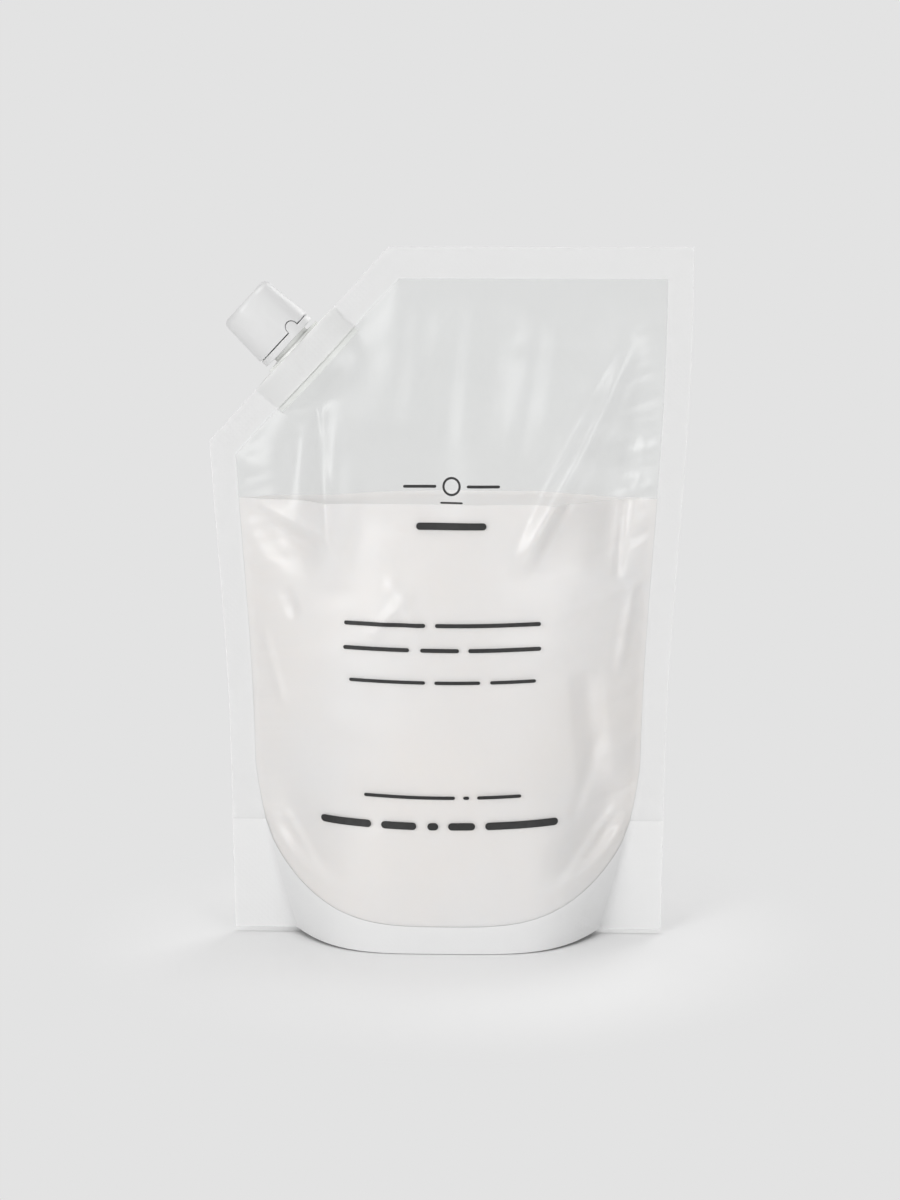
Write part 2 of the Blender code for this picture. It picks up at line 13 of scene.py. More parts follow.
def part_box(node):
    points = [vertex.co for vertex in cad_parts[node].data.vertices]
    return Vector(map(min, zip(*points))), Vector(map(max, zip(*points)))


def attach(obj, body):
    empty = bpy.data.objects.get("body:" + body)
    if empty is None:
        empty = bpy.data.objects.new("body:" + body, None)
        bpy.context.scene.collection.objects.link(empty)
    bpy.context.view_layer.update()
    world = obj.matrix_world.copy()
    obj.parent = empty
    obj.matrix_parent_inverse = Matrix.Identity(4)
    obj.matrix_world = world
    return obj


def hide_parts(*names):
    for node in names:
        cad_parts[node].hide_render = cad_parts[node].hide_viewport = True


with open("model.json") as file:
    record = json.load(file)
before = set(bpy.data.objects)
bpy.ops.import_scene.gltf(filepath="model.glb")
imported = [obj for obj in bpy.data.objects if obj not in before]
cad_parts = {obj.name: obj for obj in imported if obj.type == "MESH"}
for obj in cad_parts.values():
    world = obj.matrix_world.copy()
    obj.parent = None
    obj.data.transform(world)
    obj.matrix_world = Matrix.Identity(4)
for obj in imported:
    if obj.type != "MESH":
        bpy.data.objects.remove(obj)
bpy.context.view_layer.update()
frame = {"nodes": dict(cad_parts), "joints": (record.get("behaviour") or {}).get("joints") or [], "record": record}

bl_info = {
    "name": "Hand soap refill pack",
    "version": (1, 0, 0),
    "blender": (4, 5, 0),
    "location": "3D View > Sidebar > Refill pack",
    "description": "Dresses the packed refill pouch with film, soap, cap, print and a studio",
    "category": "Object",
}

# The spout's axis and the lower rim of the cap on it, and the cap's top, as the frame has them
TURN = next(joint for joint in frame["joints"] if joint["name"] == "cap_turn")
CAP_MOUNT = next(mount for mount in frame["record"]["mounts"] if mount["name"] == "cap_top")
SPOUT_AXIS = Vector(TURN["axis"]).normalized()
CAP_RIM = Vector(TURN["pos_m"])
CAP_HEIGHT = (Vector(CAP_MOUNT["pos_m"]) - CAP_RIM).length
CAP_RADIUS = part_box("screw_cap")[1].y
BAND_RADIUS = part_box("tamper_band")[1].y
POUCH_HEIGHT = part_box("front_film_panel")[1].z
POUCH_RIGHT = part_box("front_film_panel")[1].x
FILL_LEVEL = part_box("liquid_soap")[1].z


def linear(colour):
    """An sRGB hex colour as the linear red, green and blue that Blender works in."""
    channels = [int(colour[start : start + 2], 16) / 255 for start in (0, 2, 4)]
    return tuple(c / 12.92 if c <= 0.04045 else ((c + 0.055) / 1.055) ** 2.4 for c in channels)


def metres(name, description, default):
    """A size in metres, for a property group."""
    return bpy.props.FloatProperty(
        name=name, description=description, default=default, min=0.0, subtype="DISTANCE", unit="LENGTH"
    )


def hex_colour(name, description, colour):
    """A colour from its sRGB hex value, for a property group."""
    return bpy.props.FloatVectorProperty(
        name=name, description=description, default=linear(colour), min=0, max=1, size=3, subtype="COLOR"
    )


def degrees(name, description, default):
    """An angle from its degrees, for a property group."""
    return bpy.props.FloatProperty(
        name=name, description=description, default=math.radians(default), subtype="ANGLE", unit="ROTATION"
    )


class PouchSizes(bpy.types.PropertyGroup):
    """Sizes of the flat film and of the full pouch."""

    flat_width: metres("Flat width", "Width of the empty pouch", 0.155)
    side_seal: metres("Side weld", "Width of the side welds", 0.008)
    top_seal: metres("Top weld", "Height of the top weld", 0.010)
    cut_seal: metres("Slant weld", "Width of the weld along the slanted edge", 0.009)
    cut_across: metres("Cut across", "Length of the top edge that the cut takes", 0.059)
    seam_layer: metres("Film layer", "Film and the gap to the next one", 0.0004)
    belly_depth: metres("Belly", "Half the depth of the full pouch", 0.0257)
    belly_swell: metres("Swell", "How much deeper the belly is than the base", 0.0015)
    belly_height: metres("Belly height", "Height of the deepest place", 0.052)
    gusset_height: metres("Gusset", "Height of the gusset's fold in the side welds", 0.038)
    skirt_height: metres("Skirt", "Height of the gusset's weld at the middle", 0.009)
    gusset_sag: metres("Gusset sag", "How far the fill presses the base down", 0.003)
    gusset_crease: metres("Gusset crease", "Height of the fold along the base", 0.0015)
    fin_height: metres("Fin height", "Height up to which the flat margin widens", 0.058)
    corner_fin: metres("Corner fin", "Width of the flat margin at the lower corners", 0.0205)
    corner_lift: metres("Corner lift", "How far the lower corners stand off the ground", 0.0015)
    fill_clearance: metres("Fill clearance", "Gap between the soap and the film", 0.0004)


class ClosureSizes(bpy.types.PropertyGroup):
    """Sizes of the spout's neck, the tamper band and the screw cap."""

    cap_taper: metres("Cap taper", "How much the cap's radius narrows to the top", 0.0010)
    cap_wall: metres("Cap wall", "Thickness of the cap's wall", 0.0018)
    cap_top_wall: metres("Cap top wall", "Thickness of the cap's top", 0.0016)
    cap_shoulder: metres("Cap shoulder", "Radius round the cap's top", 0.0020)
    rim_round: metres("Rim round", "Radius of the moulded rims", 0.0003)
    gate_radius: metres("Gate mark", "Radius of the gate's dimple in the cap's top", 0.0013)
    bore_radius: metres("Bore radius", "Radius of the spout's bore", 0.00525)
    neck_radius: metres("Neck radius", "Outer radius of the spout's neck", 0.00695)
    bead_radius: metres("Bead radius", "Outer radius of the bead that holds the band", 0.00785)
    thread_lead: metres("Thread lead", "Rise of the thread in one turn", 0.0045)
    thread_relief: metres("Thread relief", "How far the thread stands off the neck", 0.0007)
    thread_width: metres("Thread width", "Width of the thread's foot", 0.0012)
    band_height: metres("Band height", "Height of the tamper band", 0.0022)
    band_lip: metres("Band lip", "Height of the lip under the bead", 0.0009)
    tab_width: metres("Tab width", "Width of the band's tab", 0.0040)
    tab_rise: metres("Tab rise", "Height of the tab's arch over the cap's rim", 0.0023)
    tab_turn: degrees("Tab turn", "Angle of the tab round the spout", 31.0)
    plug_length: metres("Plug length", "Length of the plug that seals the bore", 0.0035)
    plug_wall: metres("Plug wall", "Thickness of the plug's wall", 0.0012)
    fit_gap: metres("Fit gap", "Clearance between closure parts", 0.0003)


class PouchColours(bpy.types.PropertyGroup):
    """Colours of the pouch, its fill and its print."""

    film: hex_colour("Film", "Frosted laminate film", "CDCFCE")
    weld: hex_colour("Weld", "Heat-sealed margins of two layers", "E4E4E4")
    fin: hex_colour("Fin", "Heat-sealed corners and skirt of four layers", "E6E6E6")
    soap: hex_colour("Soap", "Pearly liquid soap", "F0EEEE")
    soap_shade: hex_colour("Soap shade", "Warmer cast in the thick of the soap", "F3EEEB")
    spout: hex_colour("Spout", "Natural polyethylene", "EEEFEC")
    cap: hex_colour("Cap", "White polypropylene", "D5D5D5")
    ink: hex_colour("Ink", "Black flexo ink", "141414")


class StudioSettings(bpy.types.PropertyGroup):
    """The camera, lamps and floor."""

    camera_distance: metres("Camera distance", "From the camera to its target", 1.0)
    camera_target: metres("Target height", "Height that the camera looks at", 0.1108)
    camera_elevation: degrees("Camera elevation", "Angle above the floor", 10.9)
    camera_azimuth: degrees("Camera azimuth", "Angle round the pouch", 1.375)
    lens: bpy.props.FloatProperty(
        name="Lens", description="Focal length on a 36 mm wide sensor", default=124.4,
        subtype="DISTANCE_CAMERA", unit="CAMERA",
    )
    backdrop: hex_colour("Backdrop", "Pale grey backdrop", "E3E3E3")
    floor: hex_colour("Floor", "Matt paint of the floor", "F3F3F3")


# Folds and creases, in the pouch's own x and z and in millimetres, as (from x, from z, to x, to z,
# half width, height). A positive height is a ridge and a negative one a valley. The soft folds
# follow those of the solid panels, and the sharp creases are finer and show as lines of light.
FRONT_FOLDS = (
    (68, 200, 24, 126, 7, 4.2),
    (66, 186, 50, 118, 7.5, -4.4),
    (-48, 192, -47, 136, 6.5, -4.2),
    (-38, 184, -37, 116, 6.5, 3.4),
    (-66, 140, -40, 124, 5.5, -3),
    (6, 196, -10, 134, 12, -3.4),
    (34, 200, 10, 144, 9, -2.2),
    (-56, 56, -38, 14, 8, -3),
    (58, 56, 36, 12, 8, -3.6),
)
BACK_FOLDS = (
    (66, 196, 16, 130, 8.5, 3.6),
    (-38, 168, -34, 114, 8, -3.6),
    (60, 156, 46, 106, 8, -3.4),
    (6, 190, 0, 136, 12, 2.6),
    (-56, 54, -38, 14, 8, -2.8),
    (56, 54, 38, 14, 8, -2.8),
)
FRONT_CREASES = (
    (66, 207.5, 21, 119.5, 4.4, 2.4),
    (54, 172, 36, 140, 2.2, -1),
    (63, 184, 56, 146, 4.2, -2.6),
    (-8, 212, -14, 150, 6, -0.7),
    (30, 210, 22, 152, 6.5, -0.8),
    (10, 212, 4, 160, 5, 0.5),
    (44, 92, 48, 50, 6, -1.6),
    (-42, 180, -37, 128, 1.8, 1.2),
    (-62, 143, -34, 131, 1.8, 0.7),
    (-58, 137, -40, 129, 1.4, -0.8),
    (-19, 122, -6, 101, 3, 0.5),
    (-25, 101, -10, 118, 3, 0.5),
    (-52, 116, -48, 106, 2.6, -0.9),
    (58, 150, 54, 118, 2, -0.9),
    (60, 118, 55, 88, 2.4, 0.7),
    (-60, 104, -52, 76, 2.4, 0.7),
    (50, 72, 40, 40, 3, -0.7),
    (56, 46, 34, 16, 2.2, 1),
    (-54, 44, -36, 16, 2.2, 0.9),
)
BACK_CREASES = (
    (62, 188, 22, 134, 2, 1.1),
    (-36, 164, -30, 120, 1.8, 1),
    (-60, 138, -30, 122, 1.8, -0.8),
    (58, 146, 50, 112, 2, -0.9),
    (54, 48, 34, 18, 2.2, 0.9),
    (-54, 46, -36, 18, 2.2, 0.9),
)

# How far the film stands off the welds where a fold has its full height, and how far from the
# gusset's weld a fold stays
FOLD_START = 0.008
WELD_STIFF = 0.007

# Print on the front film, as (z, height of its bars, (from x, to x) of each bar), and one ring
PRINT_LINES = (
    (0.1497, 0.0009, ((-0.0145, -0.0040), (0.0056, 0.0161))),
    (0.1447, 0.0006, ((-0.0028, 0.0044),)),
    (0.1375, 0.0022, ((-0.0103, 0.0119),)),
    (0.1066, 0.0013, ((-0.0332, -0.0073), (-0.0042, 0.0292))),
    (0.0988, 0.0013, ((-0.0335, -0.0124), (-0.0089, 0.0034), (0.0063, 0.0293))),
    (0.0886, 0.0011, ((-0.0316, -0.0073), (-0.0044, 0.0101), (0.0132, 0.0277))),
    (0.0517, 0.0011, ((-0.0269, 0.0022), (0.0048, 0.0067), (0.0092, 0.0232))),
    (
        0.0424, 0.0024,
        ((-0.0411, -0.0246), (-0.0214, -0.0101), (-0.0066, -0.0031), (0.0, 0.0086), (0.0118, 0.0350)),
    ),
)
RING_PLACE = (0.0008, 0.1497)
RING_RADIUS = 0.0029
RING_LINE = 0.0007
RING_STEPS = 48
PRINT_STEP = 0.0006
FEWEST_STEPS = 8
PRINT_PROUD = 0.00006

# Sines that add up to uneven waves, as (height, rate, turn): their periods don't come round together
WAVES = ((1.0, 1.0, 1.0), (0.6, 1.63, 2.1), (0.4, 2.41, -1.0))

# Fineness of the film's grid and of the turned parts, and the patch of finer grid round the spout
ROUND_STEPS = 112
QUARTER_STEPS = 4
TAB_STEPS = 16
WELD_COLUMNS = 6
BULGE_COLUMNS = 136
LEAF_ROWS = 8
FIN_ROWS = 28
FILLED_ROWS = 72
HEADSPACE_ROWS = 66
TOP_ROWS = 6
ARCH_ROWS = 40
LEVEL_ROWS = 24
GRID_COLUMNS = BULGE_COLUMNS + 2 * WELD_COLUMNS
PATCH_ALONG = 0.022
PATCH_BELOW = 0.024
CUT_SNAP = 0.0003
MERGE = 0.00001
TINY_FACE = 1e-12

# Places of the film's finishes in a film piece's list of materials
PLAIN_FILM, TWO_LAYERS, FOUR_LAYERS = 0, 1, 2

# The gusset's fold takes this share of its span. The fill sits this close to the gusset's weld,
# draws back from the film over this height, creeps this far up the film round its level, and
# reaches this far into its last column at the sides.
GUSSET_FOLD = 0.25
SOAP_SEAT = 0.00005
SOAP_DRAW = 0.004
WET_RISE = 0.0016
END_REACH = 0.95

# The threads: how deep the foot sinks into the wall, half the crest as a share of the foot's width,
# an end that rises over one part in this many of the run, where they start above the cap's rim and
# stop below its ceiling, and how far the cap's wall has tapered in where its thread stands
THREAD_ROOT = 0.0002
THREAD_CREST = 0.22
THREAD_ENDS = 12
THREAD_START = 0.0022
THREAD_HEADROOM = 0.0040
THREAD_TAPER = 0.0004

# The band's tab: its thickness, and the share of the band's height that it is rooted in. Then the
# bridges: how many and how round, their radius at the band and at the cap, how much longer they are
# than the gap, how far they start down in the band, and how far in from its outside they stand.
TAB_DEPTH = 0.0010
TAB_ROOT = 0.25
BRIDGES = 10
BRIDGE_SIDES = 10
BRIDGE_FOOT = 0.00035
BRIDGE_TIP = 0.0002
BRIDGE_OVERLAP = 0.0002
BRIDGE_DROP = 0.00022
BRIDGE_INSET = 0.0009

# Angles between faces from which an edge shows sharp
SHARP_PLASTIC = math.radians(35)
SHARP_SOAP = math.radians(60)

# Repeat of a wave texture of scale 1, in metres, and of the sealing bar's knurl, in millimetres
WAVE_REPEAT = 0.314
KNURL_PITCH = 1.4

# Noise values where a mottle reaches its two ends, how far a plastic's roughness drifts to either
# side, and how much of its colour the ink and the floor's paint keep at their deepest
MOTTLE_STOPS = (0.25, 0.75)
PLASTIC_DRIFT = 0.05
INK_DEEP = 0.7
PAINT_DEEP = 0.995

# Lamps, as (name, place, size, watts), and the strength of the light from all round
LAMPS = (
    ("key softbox", (-1.5, -1.9, 0.62), 1.1, 22.0),
    ("high softbox", (-1.0, -1.6, 1.25), 0.6, 4.5),
    ("fill softbox", (1.4, -2.0, 0.60), 1.1, 17.5),
    ("top softbox", (0.0, 0.2, 2.2), 1.2, 18.0),
    ("rear softbox", (1.3, 2.0, 1.1), 1.4, 17.0),
)
WORLD_STRENGTH = 0.29

# The floor: its size, how far it lies below the pouch, and where it fades to the backdrop
FLOOR_RADIUS = 4.0
FLOOR_SIDES = 96
FLOOR_GAP = 0.0002
FADE_FROM = 0.06
FADE_TO = 0.13
SENSOR_WIDTH = 36.0


def smooth(values):
    """0 to 1 with a soft start and end."""
    values = np.clip(values, 0.0, 1.0)
    return values * values * (3 - 2 * values)


def ripple(place, length, turn):
    """Uneven waves about this long."""
    phase = 2 * math.pi * place / length
    return sum(height * np.sin(rate * phase + shift * turn) for height, rate, shift in WAVES) / 2


def gathered(place, away, wave, turn):
    """Waves that begin at a weld and die away from it."""
    length, height, start, reach = wave
    return ripple(place, length, turn) * np.exp(-away / reach) * (height * smooth(away / start))


def blend_power(first, second, power):
    """Lengths joined with a rounded change: about the lesser if power is below 0, or the greater."""
    first = np.maximum(first, MERGE)
    second = np.maximum(second, MERGE)
    return (first**power + second**power) ** (1 / power)


class PouchShape:
    """The full pouch as functions of x, from the middle of the flat film, and z, for arrays."""

    # Slope of the film away from the slanted weld, how much squarer the section is at the base, how
    # the gusset's arch and the lower corners' margins curve, how much a bowed film narrows, and how
    # tightly rounded a join of two forms is
    shoulder_slope = 0.46
    squareness = 2.0
    arch_power = 3.2
    fin_power = 1.4
    bow = 8 / 3
    blend = 4

    # The spout's boat, and the height over which the film below it closes
    boat_length = 0.036
    boat_width = 0.0135
    boat_depth = 0.011
    boat_fade = 0.020

    # Creases: how rounded their crest is, and an end rises over one part in this many of their run
    crest_round = 0.02
    crease_ends = 6

    # Puckers at the side welds and the top weld, as (length, height, where they begin, how far they
    # reach), how they lean, and the turn that tells the two panels apart
    side_waves = (0.0105, 0.00055, 0.004, 0.010)
    top_waves = (0.036, 0.0010, 0.014, 0.035)
    right_lean, left_lean, top_lean = 0.35, -0.25, 0.1
    side_turn, top_turn = 1.3, 0.7

    # Dents, as the share of x and of z in each of two crossed waves and its length; their height
    # over the fill and what is added in the slack film; and the rise from one to the other
    dent_waves = ((0.8, 0.6, 0.043), (0.5, -0.9, 0.037))
    dent_filled, dent_slack = 0.0003, 0.0008
    slack_from, slack_rise = 0.030, 0.050

    # How much sooner than the soft folds the creases and the puckers grow
    crease_rate, pucker_rate = 2, 6

    def __init__(self, sizes):
        self.sizes = sizes
        self.middle = sizes.flat_width / 2 - POUCH_RIGHT
        self.bulge_top = POUCH_HEIGHT - sizes.top_seal
        self.cut_top = Vector((-sizes.flat_width / 2 + sizes.cut_across, 0, POUCH_HEIGHT))
        self.cut_out = SPOUT_AXIS
        self.cut_edge = Vector((-SPOUT_AXIS.z, 0, SPOUT_AXIS.x))
        rim = CAP_RIM + Vector((self.middle, 0, 0))
        self.spout_base = rim - self.cut_out * (rim - self.cut_top).dot(self.cut_out)

    def centre_depth(self, z):
        """Half the pouch's depth at its middle: a rounded belly that thins out to the top weld."""
        sizes = self.sizes
        rise = np.sin(math.pi / 2 * np.clip(z / sizes.belly_height, 0, 1))
        base = sizes.belly_depth - sizes.belly_swell * (1 - rise)
        share = np.clip((z - sizes.belly_height) / (self.bulge_top - sizes.belly_height), 0, 1)
        return np.where(z < sizes.belly_height, base, sizes.belly_depth * np.cos(math.pi / 2 * share))

    def weld_width(self, z):
        """Width of the flat side margin, which grows towards the lower corners."""
        sizes = self.sizes
        share = 1 - np.clip(z / sizes.fin_height, 0, 1)
        return sizes.side_seal + (sizes.corner_fin - sizes.side_seal) * share**self.fin_power

    def half_bulge(self, z):
        """Half the bulge's width, as the film keeps its length of width + bow * depth**2 / width."""
        film = self.sizes.flat_width - 2 * self.weld_width(z)
        drawn = film**2 - 4 * self.bow * self.centre_depth(z) ** 2
        return (film + np.sqrt(np.maximum(drawn, 0))) / 4

    def bulge_power(self, z):
        """How square the section is: round at the belly, squarer at the base."""
        return 2 + self.squareness * smooth(1 - z / self.sizes.belly_height)

    def gusset_weld(self, share):
        """Height of the gusset's arched weld, at a share of the way from the middle to the side."""
        sizes = self.sizes
        arch = 1 - np.sqrt(np.maximum(1 - share**self.arch_power, 0))
        return sizes.skirt_height + (sizes.gusset_height - sizes.skirt_height) * arch

    def lower_edge(self, share):
        """Height of the panels' lower edge, which lifts a little at the corners."""
        return self.sizes.corner_lift * share ** self.bulge_power(0.0)

    def beyond_cut(self, x, z):
        """How far past the slanted edge a place is, below 0 on the pouch."""
        out = self.cut_out
        return (x - self.cut_top.x) * out.x + (z - self.cut_top.z) * out.z

    def along_cut(self, x, z):
        """How far along the slanted edge a place is from the spout's axis."""
        edge = self.cut_edge
        return (x - self.spout_base.x) * edge.x + (z - self.spout_base.z) * edge.z

    def boat(self, x, z):
        """Half the width of the spout's boat, pointed at both ends."""
        share = np.clip(abs(self.along_cut(x, z)) / (self.boat_length / 2), 0, 1)
        return self.boat_width / 2 * (1 - share**2)

    def folds(self, x, z, folds, sharp):
        """Sum of the folds at each place: bell-shaped across if soft, or with flat flanks if sharp."""
        total = np.zeros_like(x)
        for fold in folds:
            from_x, from_z, to_x, to_z, width, height = (size / 1000 for size in fold)
            run_x, run_z = to_x - from_x, to_z - from_z
            length = math.hypot(run_x, run_z)
            share = ((x - from_x) * run_x + (z - from_z) * run_z) / length**2
            aside = ((x - from_x) * run_z - (z - from_z) * run_x) / length
            along = np.sin(math.pi * np.clip(share, 0, 1))
            profile = np.exp(-((aside / width) ** 2))
            if sharp:
                along = smooth(self.crease_ends * share) * smooth(self.crease_ends * (1 - share))
                profile = np.maximum(1 - np.sqrt((aside / width) ** 2 + self.crest_round), 0)
            total += height * along * profile
        return total

    def puckers(self, x, z, side):
        """Small waves where the full film is gathered into the side welds and the top weld."""
        edge, below_top = self.half_bulge(z) - abs(x), self.bulge_top - z
        lean = np.where(x > 0, self.right_lean, self.left_lean) * edge
        from_side = gathered(z + lean, edge, self.side_waves, self.side_turn * side + np.sign(x))
        lean = self.top_lean * below_top
        return from_side + gathered(x + lean, below_top, self.top_waves, self.top_turn * side)

    def slack(self, x, z, side):
        """Broad shallow dents, deeper in the slack film over the fill than where soap fills it."""
        above = smooth((z - FILL_LEVEL + self.slack_from) / self.slack_rise)
        dents = self.dent_filled + self.dent_slack * above
        for turn, (share_x, share_z, length) in zip((side, 2 - side), self.dent_waves):
            dents = dents * ripple(share_x * x + share_z * z, length, turn)
        return dents

    def depth(self, x, z, side):
        """How far the panel on this side, -1 for the front, stands off the plane of the welds."""
        inside = -self.sizes.cut_seal - self.beyond_cut(x, z)
        share = np.clip(abs(x) / self.half_bulge(z), 0, 1)
        bulge = self.centre_depth(z) * (1 - share ** self.bulge_power(z))
        bulge = blend_power(bulge, self.shoulder_slope * inside, -self.blend)
        bulged = (share < 1) & (z < self.bulge_top) & (inside > 0)
        bulge = np.where(bulged, bulge, 0.0)
        folds, creases = (FRONT_FOLDS, FRONT_CREASES) if side < 0 else (BACK_FOLDS, BACK_CREASES)
        fine = self.folds(x, z, creases, True) + self.slack(x, z, side)
        risen = bulge / FOLD_START
        relief = smooth(risen) * self.folds(x, z, folds, False)
        relief = relief + smooth(risen * self.crease_rate) * fine
        relief = relief + smooth(risen * self.pucker_rate) * self.puckers(x, z, side)
        bulge = bulge + smooth((z - self.gusset_weld(share)) / WELD_STIFF - 1) * relief
        boat = self.boat(x, z)
        below = -self.beyond_cut(x, z) - self.boat_depth
        around = (boat + self.sizes.fill_clearance) * (1 - smooth(below / self.boat_fade))
        wrapped = blend_power(bulge, around, self.blend)
        return np.where(boat > 0, wrapped, bulge)

    def panel_offset(self, z):
        """From the plane of the welds to a panel: more where the gusset lies between."""
        sizes = self.sizes
        between = 1 - smooth((z - sizes.gusset_height) / sizes.side_seal)
        return sizes.seam_layer * (0.5 + between)

    def column_share(self, column):
        """Place of a grid column across the bulge, -1 to 1 between the welds and past it in them."""
        return (column - WELD_COLUMNS) / BULGE_COLUMNS * 2 - 1

    def column_x(self, column, z):
        """Place across of a grid column at this height."""
        share = self.column_share(column)
        past = np.maximum(abs(share) - 1, 0) / (2 * WELD_COLUMNS / BULGE_COLUMNS)
        inner = np.clip(share, -1, 1) * self.half_bulge(z)
        return inner + np.sign(share) * past * self.weld_width(z)

    def filled_rows(self, column):
        """Heights of a column's rows up to the fill line: below the gusset's weld, beside it, above."""
        share = min(abs(self.column_share(column)), 1.0)
        weld = float(self.gusset_weld(share))
        low = np.linspace(float(self.lower_edge(share)), weld, LEAF_ROWS + 1)[:-1]
        fin = np.linspace(weld, self.sizes.fin_height, FIN_ROWS + 1)[:-1]
        return np.concatenate([low, fin, np.linspace(self.sizes.fin_height, FILL_LEVEL, FILLED_ROWS + 1)])

    def panel_rows(self, column):
        """Heights of all of a column's rows, from the lower edge to the top."""
        head = np.linspace(FILL_LEVEL, self.bulge_top, HEADSPACE_ROWS + 1)[1:]
        weld = np.linspace(self.bulge_top, POUCH_HEIGHT, TOP_ROWS + 1)[1:]
        return np.concatenate([self.filled_rows(column), head, weld])


def add_node(tree, kind, settings=None, links=None):
    """Adds a node, sets its properties and input values, and links its inputs to other outputs."""
    node = tree.nodes.new(kind)
    for name, value in (settings or {}).items():
        if isinstance(name, int) or name in node.inputs:
            node.inputs[name].default_value = value
        else:
            setattr(node, name, value)
    for name, output in (links or {}).items():
        tree.links.new(output, node.inputs[name])
    return node


def new_material(name, settings):
    """A material whose Principled shader has these values, then its nodes, its shader and the
    object's own coordinates."""
    material = bpy.data.materials.new(name)
    material.use_nodes = True
    tree = material.node_tree
    shader = tree.nodes["Principled BSDF"]
    for socket, value in settings.items():
        shader.inputs[socket].default_value = value
    return material, tree, shader, add_node(tree, "ShaderNodeTexCoord").outputs["Object"]


def per(millimetres):
    """Texture scale at which a pattern's features come this far apart."""
    return 1000 / millimetres


def noise(tree, place, millimetres, detail, distortion=0.0):
    """Cloudy noise with features about this far apart."""
    settings = {"Scale": per(millimetres), "Detail": detail, "Distortion": distortion}
    return add_node(tree, "ShaderNodeTexNoise", settings, {"Vector": place}).outputs["Fac"]


def mottle(tree, place, socket, low, high, apart, detail=1.0):
    """Makes a colour or a grey drift between two values, with its features this many mm apart."""
    ramp = add_node(tree, "ShaderNodeValToRGB", links={"Fac": noise(tree, place, apart, detail)})
    for element, value, stop in zip(ramp.color_ramp.elements, (low, high), MOTTLE_STOPS):
        element.position = stop
        element.color = (value, value, value, 1.0) if isinstance(value, float) else (*value, 1.0)
    tree.links.new(ramp.outputs["Color"], socket)


def emboss(tree, shader, height, strength, distance):
    """Makes a height stand out of the surface by up to this distance, in metres."""
    settings = {"Strength": strength, "Distance": distance}
    bump = add_node(tree, "ShaderNodeBump", settings, {"Height": height})
    tree.links.new(bump.outputs["Normal"], shader.inputs["Normal"])


def computed(tree, operation, first, second):
    """What a math node makes of two values."""
    return add_node(tree, "ShaderNodeMath", {"operation": operation}, {0: first, 1: second}).outputs[0]


def laminate_film(colour):
    """Laminate of polyester and polyethylene, cast and chill-rolled: clear but frosted, so that it
    veils what is behind it, with a soft gloss that wanders a little and fine handling wrinkles."""
    material, tree, shader, place = new_material("frosted laminate film", {
        "Base Color": (*colour, 1.0), "Specular IOR Level": 1.0, "Coat Weight": 1.0,
        "Coat Roughness": 0.28, "Alpha": 0.28,
    })
    mottle(tree, place, shader.inputs["Roughness"], 0.30, 0.38, apart=30)
    emboss(tree, shader, noise(tree, place, 5, detail=3.0, distortion=0.6), strength=0.2, distance=0.00012)
    return material


def welded_film(name, colour, alpha):
    """The same laminate, its sheets fused by a knurled sealing bar: whiter and less clear the more
    layers there are, with the bar's fine diamond print in it."""
    material, tree, shader, place = new_material(name, {"Base Color": (*colour, 1.0), "Alpha": alpha})
    lines = []
    for angle in (45, -45):
        turned = add_node(
            tree, "ShaderNodeMapping", {"Rotation": (0, math.radians(angle), 0)}, {"Vector": place}
        )
        wave = add_node(
            tree, "ShaderNodeTexWave", {"Scale": WAVE_REPEAT * per(KNURL_PITCH), "bands_direction": "X"},
            {"Vector": turned.outputs["Vector"]},
        )
        lines.append(wave.outputs["Fac"])
    emboss(tree, shader, computed(tree, "MULTIPLY", *lines), strength=0.25, distance=0.00008)
    mottle(tree, place, shader.inputs["Roughness"], 0.30, 0.42, apart=16)
    return material


def pearly_soap(colour, shade):
    """Liquid soap with a pearl agent: opaque cream that light sinks into a little, clouded by
    drifts of the warmer shade."""
    material, tree, shader, place = new_material("pearly liquid soap", {
        "Specular IOR Level": 0.1, "Subsurface Weight": 0.2, "Subsurface Radius": (1.0, 0.9, 0.8),
        "Subsurface Scale": 0.0012,
    })
    mottle(tree, place, shader.inputs["Base Color"], shade, colour, apart=45, detail=2.0)
    mottle(tree, place, shader.inputs["Roughness"], 0.28, 0.40, apart=30)
    return material


def moulded_plastic(name, colour, roughness, grain):
    """Injection-moulded plastic: even colour, satin skin with the fine texture of the mould, drawn
    with its grain this many mm apart, coarser than the real one so that it shows."""
    material, tree, shader, place = new_material(name, {"Base Color": (*colour, 1.0)})
    low, high = roughness - PLASTIC_DRIFT, roughness + PLASTIC_DRIFT
    mottle(tree, place, shader.inputs["Roughness"], low, high, apart=6)
    emboss(tree, shader, noise(tree, place, grain, detail=2.0), strength=0.2, distance=0.00002)
    return material


def printed_ink(colour):
    """Flexo ink, printed and dried: nearly black, matt, with a slightly uneven lay."""
    material, tree, shader, place = new_material("black flexo ink", {})
    deep = tuple(channel * INK_DEEP for channel in colour)
    mottle(tree, place, shader.inputs["Base Color"], deep, colour, apart=0.6)
    mottle(tree, place, shader.inputs["Roughness"], 0.5, 0.65, apart=1.5)
    return material


def linked(name, data):
    """A new object with this data, in the scene."""
    obj = bpy.data.objects.new(name, data)
    bpy.context.scene.collection.objects.link(obj)
    return obj


def plain_object(name, shape):
    """An object made of a finished shape, which is used up."""
    bmesh.ops.recalc_face_normals(shape, faces=shape.faces)
    mesh = bpy.data.meshes.new(name)
    shape.to_mesh(mesh)
    shape.free()
    return linked(name, mesh)


def new_piece(name, shape, materials, body):
    """A smooth-shaded object made of a finished shape, riding on its body."""
    obj = plain_object(name, shape)
    obj.data.shade_smooth()
    for material in materials:
        obj.data.materials.append(material)
    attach(obj, body)
    return obj


